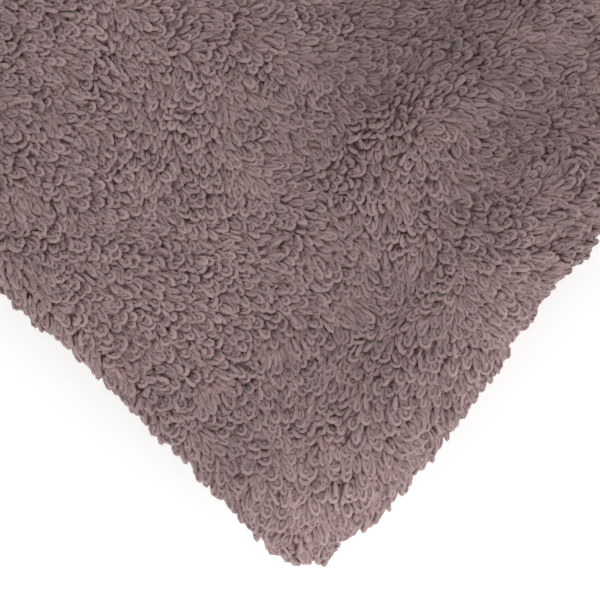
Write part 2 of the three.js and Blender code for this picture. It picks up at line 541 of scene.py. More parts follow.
@dataclass(frozen=True)
class Body:
    """A closed body of each of many items: rings of points between two end points, and each point's rise."""

    points: Array
    sides: int
    rise: Array

    @classmethod
    def tube(cls, line: Array, radius: Array, across: Pair, sides: int, rise: Array) -> Body:
        """Puts rings round middle lines.

        Args:
            line: the lines, each with its two ends.
            radius: the radius at each place between the ends.
            across: two directions across the lines there.
            sides: points in a ring.
            rise: the rise of each place on the line.

        Returns:
            The body.
        """
        turn = 2 * math.pi * np.arange(sides)[:, None] / sides
        wheel = np.cos(turn) * across[0][:, :, None] + np.sin(turn) * across[1][:, :, None]
        ring = line[:, 1:-1, None] + radius[..., None, None] * wheel
        return cls.ringed(line, ring, rise)

    @classmethod
    def ringed(cls, line: Array, ring: Array, rise: Array) -> Body:
        """Joins rings of points and the ends of their middle lines.

        Args:
            line: the lines, each with its two ends.
            ring: the rings of each, in order.
            rise: the rise of each place on the line.

        Returns:
            The body.
        """
        points = np.concatenate([line[:, :1], ring.reshape(len(line), -1, 3), line[:, -1:]], axis=1)
        sides = ring.shape[2]
        return cls(points, sides, np.concatenate([rise[:1], np.repeat(rise[1:-1], sides), rise[-1:]]))

    def around(self) -> Array:
        """Says how far round its ring each point is.

        Returns:
            From 0 to 1, out and back.
        """
        rings = (self.points.shape[1] - 2) // self.sides
        one = 1 - np.abs(2 * np.arange(self.sides) / self.sides - 1)
        return np.concatenate([[0.5], np.tile(one, rings), [0.5]])


def joined(bodies: Sequence[Body]) -> MeshParts:
    """Joins the bodies of many like items into one mesh.

    Args:
        bodies: what each item is made of.

    Returns:
        The mesh's arrays, item by item.
    """
    points = np.concatenate([body.points for body in bodies], axis=1)
    quads, triangles, first = [], [], 0
    for body in bodies:
        sides, last = body.sides, first + body.points.shape[1] - 1
        a = np.arange(sides)
        b = (a + 1) % sides
        ring = np.arange(first + 1, last - sides, sides)[:, None]
        corners = [ring + a, ring + b, ring + sides + b, ring + sides + a]
        quads.append(np.stack(corners, axis=-1).reshape(-1, 4))
        for start, i, j, pole in ((first + 1, b, a, first), (last - sides, a, b, last)):
            triangles.append(np.stack([start + i, start + j, np.full(sides, pole)], axis=-1))
        first = last + 1
    item = np.arange(len(points))[:, None, None] * points.shape[1]
    faces = ((item + np.concatenate(one)).reshape(-1, one[0].shape[1]) for one in (quads, triangles))
    return MeshParts(points.reshape(-1, 3), *faces)


# Finishes


class Sum:
    """A shader value that takes part in Python expressions, each of which adds its Math node."""

    def __init__(self, shader: Shader, socket: Any) -> None:
        """Wraps a socket of one shader."""
        self.shader, self.socket = shader, socket

    def _with(self, operation: str, first: Any, second: Any) -> Sum:
        """Returns the result of a Math node on two values."""
        return self.shader.node("ShaderNodeMath", {"operation": operation}, {0: first, 1: second})

    def __add__(self, other: Any) -> Sum:
        """Adds."""
        return self._with("ADD", self, other)

    def __sub__(self, other: Any) -> Sum:
        """Subtracts."""
        return self._with("SUBTRACT", self, other)

    def __mul__(self, other: Any) -> Sum:
        """Multiplies."""
        return self._with("MULTIPLY", self, other)

    def __rsub__(self, other: Any) -> Sum:
        """Subtracts from a number."""
        return self._with("SUBTRACT", other, self)

    __radd__, __rmul__ = __add__, __mul__

    def clamped(self) -> Sum:
        """Holds the value between 0 and 1."""
        return self.shader.node("ShaderNodeClamp", {}, {"Value": self})


class Shader:
    """Builds one material's nodes."""

    def __init__(self, name: str) -> None:
        """Starts a material with a lone Principled shader.

        Args:
            name: the material's name.
        """
        self.material = bpy.data.materials.new(name)
        self.material.use_nodes = True
        self.tree = self.material.node_tree
        self.surface = self.tree.nodes["Principled BSDF"]

    def node(self, kind: str, settings: dict[str, Any], inputs: dict[Any, Any], output: int | str = 0) -> Sum:
        """Adds one node.

        Args:
            kind: its type.
            settings: its own settings, set first.
            inputs: values or links by socket.
            output: the socket to return.

        Returns:
            That output.
        """
        made = self.tree.nodes.new(kind)
        for key, value in settings.items():
            setattr(made, key, value)
        for key, value in inputs.items():
            self._feed(made.inputs[key], value)
        return Sum(self, made.outputs[output])

    def _feed(self, socket: Any, value: Any) -> None:
        """Sets or links one input.

        Args:
            socket: the input.
            value: a number, a colour or another node's output.
        """
        if isinstance(value, Sum):
            self.tree.links.new(value.socket, socket)
        else:
            socket.default_value = (*value, 1.0) if socket.type == "RGBA" and len(value) == 3 else value

    def attribute(self, name: str) -> Sum:
        """Returns a value that the piece's mesh holds by point."""
        return self.node("ShaderNodeAttribute", {"attribute_name": name}, {}, "Fac")

    def noise(self, place: Sum, scale: float, detail: float) -> Sum:
        """Returns a noise pattern, from 0 to 1."""
        return self.node("ShaderNodeTexNoise", {}, {"Vector": place, "Scale": scale, "Detail": detail}, "Fac")

    def mix(self, share: Any, first: Any, second: Any) -> Sum:
        """Returns one colour turning into another, as a share goes from 0 to 1."""
        return self.node("ShaderNodeMix", {"data_type": "RGBA"}, {0: share, 6: first, 7: second}, 2)

    def scaled(self, colour: Any, by: Sum) -> Sum:
        """Returns a colour made lighter or darker by a value."""
        return self.node("ShaderNodeVectorMath", {"operation": "SCALE"}, {0: colour, "Scale": by})

    def set(self, **sockets: Any) -> None:
        """Sets or links the Principled shader's sockets, named with underscores for spaces."""
        for key, value in sockets.items():
            self._feed(self.surface.inputs[key.replace("_", " ")], value)

    def bump(self, height: Sum, strength: float, distance: float) -> None:
        """Gives the surface a bump from a height."""
        inputs = {"Height": height, "Strength": strength, "Distance": distance}
        self.set(Normal=self.node("ShaderNodeBump", {}, inputs))


COTTON = {"Roughness": 0.95, "Sheen_Roughness": 0.5, "Specular_IOR_Level": 0.15}


@dataclass(frozen=True)
class YarnFinish:
    """The soft, low-twist cotton of the loops."""

    name: str = "terry_yarn"
    # Lighter, redder yarn low in the pile: painted bounce light in the gaps between the loops. The tip colour is the
    # yarn's own.
    root: Colour = (0.480, 0.288, 0.273)
    tip: Colour = (0.350, 0.248, 0.246)
    sheen: float = 0.17
    fuzz: float = 0.5
    fuzz_scale: float = 3200.0
    fuzz_depth: float = 0.0002
    glow: float = 0.6
    glow_depth: float = 0.0005
    glow_hue: Colour = (1.0, 0.88, 0.85)
    patch_scale: float = 55.0
    patchy: float = 0.16

    def build(self) -> bpy.types.Material:
        """Makes the material, which reads the loops' height, for the painted bounce light low in the pile, and their
        tone, which holds the painted shade of the nap.

        Returns:
            The material.
        """
        shader = Shader(self.name)
        rise = shader.attribute("height").clamped()
        # Random tone of each loop, less the painted shade of the nap.
        tint = shader.attribute("tint")
        place = shader.node("ShaderNodeTexCoord", {}, {}, "Object")
        light = 1.0 + tint + (shader.noise(place, self.patch_scale, 2.0) - 0.5) * self.patchy
        shader.set(
            # Lighter, redder low in the pile, as painted bounce light; random tone and painted nap shade scale it.
            Base_Color=shader.scaled(shader.mix(rise, self.root, self.tip), light),
            Sheen_Weight=self.sheen,
            Subsurface_Weight=self.glow,
            Subsurface_Scale=self.glow_depth,
            Subsurface_Radius=self.glow_hue,
            **COTTON,
        )
        shader.bump(shader.noise(place, self.fuzz_scale, 1.0), self.fuzz, self.fuzz_depth)
        return shader.material


@dataclass(frozen=True)
class GroundFinish:
    """The ground cloth between the loops, with the pressed pile of the faces that lie on each other, darker there as
    painted shade between the layers.
    """

    name: str = "terry_ground"
    deep: Colour = (0.362, 0.248, 0.243)
    # Darker where the faces lie on each other: painted shade between the layers.
    pressed_and_shaded: Colour = (0.240, 0.176, 0.174)
    woven: Colour = (0.330, 0.245, 0.243)
    sheen: float = 0.15
    cell_scale: float = 430.0
    rib_scale: float = 330.0
    rib_bend: float = 0.6
    rib_height: float = 0.25
    darkest: float = 0.62
    contrast: float = 0.5
    rough: float = 0.9
    depth: float = 0.0009

    def build(self) -> bpy.types.Material:
        """Makes the material, which reads how far the cloth has modelled loops and how far it is woven.

        Returns:
            The material.
        """
        shader = Shader(self.name)
        covered, plain = shader.attribute("covered"), shader.attribute("plain")
        place = shader.node("ShaderNodeUVMap", {"uv_map": "cloth"}, {})
        cells = {"Vector": place, "Scale": self.cell_scale}
        loops = (1.0 - shader.node("ShaderNodeTexVoronoi", {"feature": "F1"}, cells, "Distance")).clamped()
        bands = {"wave_type": "BANDS", "bands_direction": "Y"}
        waves = {"Vector": place, "Scale": self.rib_scale, "Distortion": self.rib_bend}
        ribs = shader.node("ShaderNodeTexWave", bands, waves, "Fac")
        height = loops * (1.0 - plain) + ribs * plain * self.rib_height
        # Painted shade: darker in the hollows between the pattern's loops and ribs, lighter on their tops.
        light = self.darkest + self.contrast * height
        # Painted shade between the layers where no loops are modelled.
        pile = shader.mix(covered, self.pressed_and_shaded, self.deep)
        colour = shader.scaled(shader.mix(plain, pile, self.woven), light)
        shader.set(Base_Color=colour, Sheen_Weight=self.sheen, **COTTON)
        shader.bump(height, self.rough, self.depth)
        return shader.material


@dataclass(frozen=True)
class ThreadFinish:
    """The sewing thread of the hems."""

    name: str = "hem_thread"
    colour: Colour = (0.37, 0.275, 0.272)
    fibre_scale: float = 2500.0
    darkest: float = 0.9
    contrast: float = 0.2

    def build(self) -> bpy.types.Material:
        """Makes the material.

        Returns:
            The material.
        """
        shader = Shader(self.name)
        place = shader.node("ShaderNodeTexCoord", {}, {}, "Object")
        light = self.darkest + self.contrast * shader.noise(place, self.fibre_scale, 2.0)
        shader.set(Base_Color=shader.scaled(self.colour, light), Roughness=0.8, Specular_IOR_Level=0.2)
        return shader.material


# The cloth


@dataclass(frozen=True)
class Cover:
    """Where the towel's loops are modelled: on the faces that show, and a little way in between them."""

    cloth: FoldedCloth
    margin: float = 4.0
    back_depth: float = 6.0
    past: float = 50.0
    down_fold: float = 0.9
    beside_fold: float = 3.0
    beside_turn: float = 2.0
    around_edge: float = 9.0
    edge_soft: float = 2.0
    bend_margin: float = 1.5
    woven_soft: float = 1.2

    def outer(self, s: Array, q: Array) -> Array:
        """Returns 1 where the band's outer face shows, and 0 where it lies on another run.

        Args:
            s: distances along the towel.
            q: distances across it.

        Returns:
            The cover at each point, from 0 to 1.
        """
        c, m, past = self.cloth, self.margin, self.past
        e, start, end = c.ends, c.fold_start, c.fold_end
        shown = (
            within(s, -past, e[2] + m, m) * within(q, -past, start + self.down_fold * c.fold_length, m),
            within(q, start - self.beside_fold, end + self.beside_fold, m),
            within(s, e[5] - m, e[6] + m, m) * within(q, -past, start + self.beside_turn, m),
            within(s, e[3] - m, e[4] + m, m) * within(q, end - self.beside_turn, c.width + past, m),
            self.inner(s, q),
        )
        return np.max(shown, axis=0)

    def inner(self, s: Array, q: Array) -> Array:
        """Returns 1 just inside the side edges, where both faces show between the layers."""
        return within(self.cloth.borders(s, q)[0], -self.around_edge, self.back_depth, self.edge_soft)

    def on(self, face: int, s: Array, q: Array) -> Array:
        """Returns the cover of the outer face, which is 1, or of the inner one, which is -1."""
        return self.outer(s, q) if face > 0 else self.inner(s, q)

    def bent(self, s: Array, q: Array) -> Array:
        """Says which points lie in a roll, in the turn or in the front fold, where the pile spreads.

        Args:
            s: distances along the towel.
            q: distances across it.

        Returns:
            True for those that do.
        """
        c, m = self.cloth, self.bend_margin
        spans = [(s, *turn) for turn in c.turns] + [(q, c.fold_start, c.fold_end)]
        return np.any([(at > low - m) & (at < high + m) for at, low, high in spans], axis=0)

    def woven(self, s: Array, q: Array) -> Array:
        """Returns 1 on the flat woven hems and side edges, and 0 on the pile."""
        to_edge, to_end = self.cloth.borders(s, q)
        return 1 - smooth(to_edge / self.woven_soft) * smooth(to_end / self.woven_soft)


@dataclass
class GroundCloth:
    """The cloth that the loops grow from, as one closed sheet."""

    cloth: FoldedCloth
    cover: Cover
    under_loops: float = 1.35
    under_pressed_pile: float = 2.0
    hem: float = 1.2
    side_edge: float = 1.0
    hem_first: float = 0.5
    coarse_step: float = 9.0
    close_step: float = 4.0
    fine_step: float = 2.8
    close_reach: float = 125.0

    def half(self, s: Array, q: Array, face: int) -> Array:
        """Returns the height of the sheet's face above its middle.

        Args:
            s: distances along the towel.
            q: distances across it.
            face: 1 for the band's outer face and -1 for the inner one.

        Returns:
            The height at each point, in mm.
        """
        to_edge, to_end = (x / self.cloth.plan.pile_slope for x in self.cloth.borders(s, q))
        pile = blend(self.under_pressed_pile, self.under_loops, self.cover.on(face, s, q))
        hem = blend(self.side_edge, self.hem, smooth(to_edge + self.hem_first))
        return blend(hem, blend(self.side_edge, pile, smooth(to_edge)), smooth(to_end))

    def _steps(self, stops: Sequence[float], fine: Sequence[Span], close_to: float) -> Array:
        """Returns distances that meet every stop, close together where asked.

        Args:
            stops: the distances that must be there, in order.
            fine: stretches with the fine step.
            close_to: the distance at which the close view's stretch ends.

        Returns:
            The distances.
        """
        found = [stops[0]]
        for a, b in zip(stops, stops[1:]):
            middle = (a + b) / 2
            step = self.close_step if close_to - self.close_reach <= middle <= close_to else self.coarse_step
            if any(low <= middle <= high for low, high in fine):
                step = self.fine_step
            count = max(1, math.ceil((b - a) / step))
            found += [a + (b - a) * i / count for i in range(1, count + 1)]
        return np.array(found)

    def build(self) -> bpy.types.Object:
        """Makes the closed sheet, which stands for the towel's solid.

        Returns:
            The sheet.
        """
        c, p = self.cloth, self.cloth.plan
        e = c.ends
        hem, slope = p.hem_length, p.pile_slope
        from_end, to_end = (0, hem, hem + slope), (c.length - hem - slope, c.length - hem, c.length)
        s_stops = [*from_end, e[1] - self.close_reach, *e[1:7], *to_end]
        s = self._steps(s_stops, c.turns, e[1])
        border = (0, p.side_edge_width, p.side_edge_width + slope, p.side_edge_width + 3 * slope)
        far_border = [c.width - stop for stop in border[::-1]]
        q_stops = [*border, c.fold_start - self.close_reach, c.fold_start, c.fold_end, *far_border]
        q_fine = [(c.fold_start, c.fold_end), (0, border[2]), (far_border[1], c.width)]
        q = self._steps(q_stops, q_fine, c.fold_start)
        ss, qq = pairs(s, q)
        below = len(ss)
        grid = np.arange(below).reshape(len(s), len(q))
        top = np.stack([grid[:-1, :-1], grid[:-1, 1:], grid[1:, 1:], grid[1:, :-1]], axis=-1).reshape(-1, 4)
        rim = np.concatenate([grid[:-1, 0], grid[-1, :-1], grid[:0:-1, -1], grid[0, :0:-1]])
        after = np.roll(rim, -1)
        wall = np.stack([rim, after, after + below, rim + below], axis=1)
        flat = np.stack([ss, qq], axis=1) * MM
        share = np.stack([ss / c.length, qq / c.width / 2], axis=1)
        parts = MeshParts(
            points=np.concatenate([c.place(ss, qq, face * self.half(ss, qq, face)) for face in (1, -1)]),
            quads=np.concatenate([top, top[:, ::-1] + below, wall]),
            values={
                "covered": np.concatenate([self.cover.on(face, ss, qq) for face in (1, -1)]),
                "plain": np.tile(self.cover.woven(ss, qq), 2),
            },
            places={
                "cloth": np.concatenate([flat, flat + 2.0]),
                "OFBake": np.concatenate([share, share + [0.0, 0.5]]),
            },
        )
        return parts.build("towel_cloth", GroundFinish().build())


# The pile


@dataclass(frozen=True)
class Stroke:
    """A place where the pile has been pushed one way: plan place in mm from the corner, heading in degrees.

    The lie goes from 0, upright, to 1, flat. The shade is painted shade in the yarn's colour there, strongest in the
    creases and towards the back, and painted light where it is below zero, as at the front corner; the spread says how
    open its loops stand, as a share of the usual.
    """

    u: float
    v: float
    heading: float
    lie: float
    reach: float
    shade: float = 0.0
    spread: float = 1.0


# Each stroke: plan place, heading, lie, reach, painted shade (painted light where below zero) and spread.
STROKES = tuple(Stroke(*row) for row in (
    (6, 6, -43, 0.92, 11, -0.22, 1.4), (7, 24, -40, 0.92, 12, -0.12, 1.4),
    (8, 43, -34, 0.85, 11, 0.0, 1.25), (9, 33, -48, 0.8, 8, 0.0, 1.3), (18, 30, -66, 0.6, 8, 0.16),
    (6, 60, 30, 0.8, 12, 0.08), (10, 76, 80, 0.7, 7, 0.16), (13, 84, 36, 0.9, 12, 0.28),
    (28, 81, 41, 0.9, 12, 0.36), (37, 73, 78, 0.75, 8, 0.24), (48, 78, 52, 0.8, 13, 0.4),
    (28, 99, 41, 0.85, 10, 0.24), (21, 68, -18, 0.8, 7, 0.12), (30, 64, -38, 0.6, 8, 0.08),
    (37, 59, -48, 0.5, 8, 0.16), (27, 48, -48, 0.75, 8, 0.14), (32, 46, -36, 0.75, 8),
    (38, 47, 34, 0.85, 8, 0.1), (31, 39, -3, 0.75, 8), (55, 57, -18, 0.8, 7, 0.1), (47, 55, 5, 0.8, 6, 0.2),
    (60, 66, 36, 0.85, 11, 0.14), (62, 56, -43, 0.7, 6, 0.06), (72, 60, 30, 0.8, 8, 0.16),
    (52, 45, 21, 0.8, 8, 0.06), (66, 35, -48, 0.7, 9), (79, 40, -3, 0.8, 10), (49, 38, -58, 0.6, 7),
    (44, 31, 36, 0.8, 9), (34, 20, 33, 0.7, 9), (22, 20, -50, 0.65, 9, 0.08),
    (27, 5, -16, 0.8, 9, 0.0, 1.25), (39, 7, -10, 0.75, 9, 0.06, 1.2), (45, 14, 10, 0.7, 9, -0.2, 1.1),
    (56, 10, -4, 0.75, 12, 0.0, 1.1), (68, 5, 0, 0.7, 9, 0.12), (70, 20, 12, 0.65, 12),
    (90, 30, 24, 0.8, 14, 0.08), (97, 62, 30, 0.75, 14, 0.16),
))  # fmt: skip


class SlowNoise:
    """A smooth random field of one scale, the same on every run."""

    def __init__(self, seed: int, wavelength: float, waves: int = 14) -> None:
        """Draws the field's waves.

        Args:
            seed: which field it is.
            wavelength: its usual size, in mm.
            waves: how many waves make it up.
        """
        rng = np.random.default_rng(seed)
        heading = rng.uniform(0, 2 * math.pi, waves)
        number = 2 * math.pi / (wavelength * rng.uniform(0.7, 1.6, waves))
        self.kx, self.ky = number * np.cos(heading), number * np.sin(heading)
        self.phase = rng.uniform(0, 2 * math.pi, waves)
        self.size = math.sqrt(2 / waves)

    def at(self, x: Array, y: Array) -> Array:
        """Returns the field at plan points, with a spread of about one."""
        waves = np.cos(x[:, None] * self.kx + y[:, None] * self.ky + self.phase)
        return waves.sum(1) * self.size


class Form(Enum):
    """How a loop is modelled."""

    RING = "open loop of yarn"
    BEAD = "plain bead"


@dataclass(frozen=True)
class LoopShape:
    """The sizes of one kind of loop, in mm, and its profile from root to tip.

    A ring's stops are shares of the yarn's way out and back, and a bead's are shares of its length. The pale
    height is the share of the pile's usual height from which the yarn has the colour of its tips; below it the yarn
    turns lighter and redder, painted bounce light in the gaps between the loops.
    """

    form: Form
    stops: tuple[float, ...]
    sides: int
    length: float = 3.5
    width: float = 1.95
    yarn: float = 0.365
    pale: float = 0.85
    bulge: float = 1.3
    roundness: float = 1.2
    legs_apart: float = 0.22
    slim: float = 0.78
    swell: float = 0.3
    swell_power: float = 0.8

    @property
    def triangles(self) -> int:
        """How many triangles one loop takes, with a ring's heart."""
        heart = 8 if self.form is Form.RING else 0
        return 2 * self.sides * (len(self.stops) - 2) + heart


RING = LoopShape(Form.RING, (0, 0.16, 0.30, 0.41, 0.5, 0.59, 0.70, 0.84, 1), 4)
PLAIN_RING = LoopShape(Form.RING, (0, 0.2, 0.37, 0.5, 0.63, 0.8, 1), 3, pale=0.65)
FILL = LoopShape(Form.BEAD, (0, 0.6, 1), 4, length=2.6, width=2.1, yarn=0.45)
BEAD = LoopShape(Form.BEAD, (0, 0.62, 1), 4, length=3.3, width=2.1, yarn=0.5, pale=0.3)


@dataclass(frozen=True)
class Habit:
    """How the loops grow: pairs of values for loops that stand upright and for loops that lie flat.

    Angles are in degrees from the cloth's normal, and sizes are shares of the loop's own.
    """

    start: Span = (10.0, 44.0)
    end: Span = (32.0, 90.0)
    long: Span = (0.78, 1.00)
    wide: Span = (1.30, 0.66)
    heart: float = 0.6
    scatter: float = 0.20
    parted: float = 0.4
    steady: float = 0.6
    lie_patch: float = 0.13
    lie_spread: float = 0.12
    start_spread: float = 5.0
    end_spread: float = 8.0
    long_patch: float = 0.07
    long_spread: float = 0.09
    wide_spread: float = 0.12
    yarn_spread: float = 0.09
    turn_spread: float = 0.18
    twist_spread: float = 0.22
    twisted: float = 0.08
    twisted_by: float = 0.9
    curl_spread: float = 0.35
    back_of_root: float = 0.6
    heart_stops: tuple[float, ...] = (0.25, 0.66, 0.95)
    heart_rise: float = 0.55
    lie_limits: Span = (0.15, 1.08)
    long_limits: Span = (0.65, 1.4)
    wide_limits: Span = (0.65, 1.35)
    yarn_limits: Span = (0.75, 1.25)

    @staticmethod
    def at(pair: Span, lie: Array) -> Array:
        """Returns a pair's value for loops between upright and flat."""
        return blend(*pair, lie)

    def canopy(self, lie: Array, length: float) -> Array:
        """Returns how high above the cloth loops of one length usually reach, in mm."""
        start, end = np.radians(self.at(self.start, lie)), np.radians(self.at(self.end, lie))
        return length * self.at(self.long, lie) * (np.sin(end) - np.sin(start)) / (end - start)


HABIT = Habit()


@dataclass(frozen=True)
class Nap:
    """How the pile lies at each root: its direction, its lie, the shade painted into its colour and how open its loops
    stand.
    """

    along: Array
    lie: Array
    shade: Array
    spread: Array


class Zone(Enum):
    """Parts of the pile, by how near the camera's view they are."""

    CLOSE = 0
    NEARBY = 1
    FAR = 2


@dataclass(frozen=True)
class Growth:
    """One kind of loop in a zone, and how densely it grows, per square mm."""

    zone: Zone
    name: str
    shape: LoopShape
    density: float


GROWTHS = (
    Growth(Zone.CLOSE, "loops", RING, 0.48),
    Growth(Zone.CLOSE, "fill", FILL, 0.68),
    Growth(Zone.NEARBY, "loops", PLAIN_RING, 0.38),
    Growth(Zone.NEARBY, "fill", FILL, 0.40),
    Growth(Zone.FAR, "loops", BEAD, 0.28),
)


@dataclass(frozen=True)
class Stand:
    """How each loop of one draw stands: one row or value for each."""

    at: Array
    normal: Array
    lean: Array
    across: Array
    start: Array
    end: Array
    long: Array
    wide: Array
    yarn: Array
    twist: Array
    curl: Array

    def spine(self, rise: Array) -> tuple[Array, Array, Array]:
        """Follows each loop's bent middle line.

        Args:
            rise: shares of its length.

        Returns:
            Places on the line, the direction across the loop, and the one away from its face.
        """
        y = self.long[:, None] * rise[None]
        bend = ((self.end - self.start) / self.long)[:, None]
        angle = self.start[:, None] + bend * y
        up = ((np.sin(angle) - np.sin(self.start)[:, None]) / bend)[..., None]
        over = ((np.cos(self.start)[:, None] - np.cos(angle)) / bend)[..., None]
        turn = (self.twist[:, None] + self.curl[:, None] * rise[None])[..., None]
        normal, lean = self.normal[:, None], self.lean[:, None]
        cos, sin = np.cos(angle)[..., None], np.sin(angle)[..., None]
        axis = cos * normal + sin * lean
        side = np.cos(turn) * self.across[:, None] + np.sin(turn) * (cos * lean - sin * normal)
        face = np.cross(axis, side)
        face = face * np.where(np.sum(face * normal, axis=2, keepdims=True) < 0, -1.0, 1.0)
        return self.at[:, None] + up * normal + over * lean, side, face


@dataclass
class Roots:
    """Where loops grow: their places, and the directions away from the cloth there."""

    at: Array
    normal: Array

    def only(self, keep: Array) -> Roots:
        """Returns those that are kept."""
        return Roots(self.at[keep], self.normal[keep])

    def __len__(self) -> int:
        """Returns how many there are."""
        return len(self.at)


@dataclass
class Pile:
    """The looped pile: where it grows, how it lies, and its meshes."""

    cloth: FoldedCloth
    cover: Cover
    ground: GroundCloth
    eye: Eye
    most_triangles: int = 190_000
    root_seeds: tuple[int, int] = (100, 10)
    stand_seeds: tuple[int, int] = (500, 20)
    tint_seed: int = 7
    more_where_bent: float = 0.5
    bare_border: float = 0.6
    sunk: float = 0.65
    lowest: float = 0.15
    map_margin: float = 0.1
    uneven: float = 0.08
    most_uneven: float = 2.0
    resting_weight: float = 0.35
    resting_lie: float = 0.7
    # Painted shade of the yarn away from the strokes: an even darkening and slow patches of it.
    resting_shade: float = 0.05
    patchy: float = 0.09
    swirling: float = 0.5
    tousled: float = 0.22
    drooping: float = 0.35

    def __post_init__(self) -> None:
        """Draws the slow fields that vary the pile."""
        self.swirl = SlowNoise(11, 24.0), SlowNoise(12, 24.0)
        self.tousle = SlowNoise(13, 9.0), SlowNoise(14, 9.0)
        self.press = SlowNoise(15, 8.0)
        self.tuft = SlowNoise(19, 4.6, 24)
        # Slow patches of painted shade in the yarn's colour.
        self.shade_patches = SlowNoise(20, 30.0)

    def roots(self, density: float, face: int, seed: int, only_bent: bool = False) -> Roots:
        """Spreads roots over the covered parts of one face of the cloth.

        Args:
            density: roots for each square mm.
            face: 1 for the band's outer face and -1 for the inner one.
            seed: which draw it is.
            only_bent: whether to keep only those where the cloth is bent.

        Returns:
            The roots, with their places and directions.
        """
        rng = np.random.default_rng(seed)
        c = self.cloth
        step = math.sqrt(2 / math.sqrt(3) / density)
        row = step * math.sqrt(3) / 2
        rows, columns = np.arange(int(c.length / row)), np.arange(int(c.width / step))
        i, j = pairs(rows, columns)
        s = (i + 0.5) * row + rng.normal(0, HABIT.scatter * step, i.shape)
        q = (j + 0.25 + 0.5 * (i % 2)) * step + rng.normal(0, HABIT.scatter * step, i.shape)
        keep = (np.minimum(*c.borders(s, q)) > self.bare_border) & (self.cover.on(face, s, q) > 0.5)
        if only_bent:
            keep &= self.cover.bent(s, q)
        s, q = s[keep], q[keep]
        return Roots(*c.frames(s, q, face * (self.ground.half(s, q, face) - self.sunk), face))

    def nap(self, roots: Roots) -> Nap:
        """Returns which way the loops lean, how far they lie over, the shade painted into their colour and how open
        they stand, as the strokes have left them.

        Args:
            roots: where the loops grow.

        Returns:
            The nap at each root.
        """
        x, y = roots.at[:, 0], roots.at[:, 1]
        u, v = self.cloth.corner[0] - x, y - self.cloth.corner[1]
        weight = np.full(len(roots), self.resting_weight)
        total = self.swirling * np.stack([field.at(x, y) for field in self.swirl], axis=1) * weight[:, None]
        lie, spread = self.resting_lie * weight, weight.copy()
        # Painted shade of the yarn's colour where no stroke reaches: an even level and its slow patches.
        shade = weight * (self.resting_shade + self.patchy * self.shade_patches.at(x, y))
        for stroke in STROKES:
            share = np.exp(-((u - stroke.u) ** 2 + (v - stroke.v) ** 2) / stroke.reach**2)
            turn = math.radians(stroke.heading)
            total += share[:, None] * np.array([math.cos(turn), math.sin(turn)])
            lie += share * stroke.lie
            # Painted shade of the yarn, darker in the creases and towards the back, lighter by the front corner.
            shade += share * stroke.shade
            spread += share * stroke.spread
            weight += share
        lean, lie = total / weight[:, None], lie / weight
        lie = lie * (HABIT.parted + (1 - HABIT.parted) * smooth(np.linalg.norm(lean, axis=1) / HABIT.steady))
        lean = unit(lean) + self.tousled * np.stack([field.at(x, y) for field in self.tousle], axis=1)
        level = np.concatenate([lean, np.full((len(roots), 1), -self.drooping)], axis=1)
        along = level - np.sum(level * roots.normal, axis=1, keepdims=True) * roots.normal
        return Nap(unit(along), lie, shade / weight, spread / weight)

    def stand(self, roots: Roots, shape: LoopShape, seed: int) -> Stand:
        """Draws how the loops on these roots stand.

        Args:
            roots: where the loops grow.
            shape: their form.
            seed: which draw it is.

        Returns:
            The loops' directions and sizes.
        """
        rng = np.random.default_rng(seed)
        n, normal, nap, h = len(roots), roots.normal, self.nap(roots), HABIT
        x, y = roots.at[:, 0], roots.at[:, 1]
        turn = rng.normal(0, h.turn_spread, n)[:, None]
        lean = nap.along * np.cos(turn) + np.cross(normal, nap.along) * np.sin(turn)
        lie = nap.lie + h.lie_patch * self.press.at(x, y) + rng.normal(0, h.lie_spread, n)
        lie = np.clip(lie, *h.lie_limits)
        start = np.radians(h.at(h.start, lie) + rng.normal(0, h.start_spread, n))
        end = np.radians(h.at(h.end, lie) + rng.normal(0, h.end_spread, n))
        growth = 1 + h.long_patch * self.tuft.at(x, y) + rng.normal(0, h.long_spread, n)
        long = shape.length * h.at(h.long, lie) * np.clip(growth, *h.long_limits)
        twist = rng.normal(0, h.twist_spread, n)
        twisted = rng.uniform(0, 1, n) < h.twisted
        twist = np.where(twisted, twist + rng.choice([-1.0, 1.0], n) * h.twisted_by, twist)
        wide = shape.width * nap.spread * h.at(h.wide, lie)
        wide = wide * rng.normal(1, h.wide_spread, n).clip(*h.wide_limits)
        yarn = shape.yarn * rng.normal(1, h.yarn_spread, n).clip(*h.yarn_limits)
        curl = rng.normal(0, h.curl_spread, n)
        reach = long * (np.cos(start) - np.cos(end)) / (end - start)
        at = roots.at - h.back_of_root * reach[:, None] * lean
        return Stand(at, normal, lean, np.cross(normal, lean), start, end, long, wide, yarn, twist, curl)

    def mesh(self, roots: Roots, shape: LoopShape, seed: int) -> MeshParts:
        """Models a loop on every root.

        Args:
            roots: where the loops grow.
            shape: their form.
            seed: which draw it is.

        Returns:
            The joined mesh's arrays.
        """
        stand, nap, n = self.stand(roots, shape, seed), self.nap(roots), len(roots)
        ring = shape.form is Form.RING
        bodies = [self._rings(shape, stand), self._hearts(stand)] if ring else [self._beads(shape, stand)]
        rise = np.concatenate([body.rise for body in bodies])
        parts = joined(bodies)
        parts.points[:, 2] = np.maximum(parts.points[:, 2], self.lowest)
        most = self.most_uneven
        uneven = np.random.default_rng(seed + self.tint_seed).normal(0, 1, n).clip(-most, most)
        above = np.einsum("ijk,ik->ij", parts.points.reshape(n, -1, 3) - roots.at[:, None], roots.normal)
        # Height share that turns the yarn's painted bounce light, low in the pile, into its own colour at the tips.
        height = above / (shape.pale * HABIT.canopy(nap.lie, RING.length)[:, None])
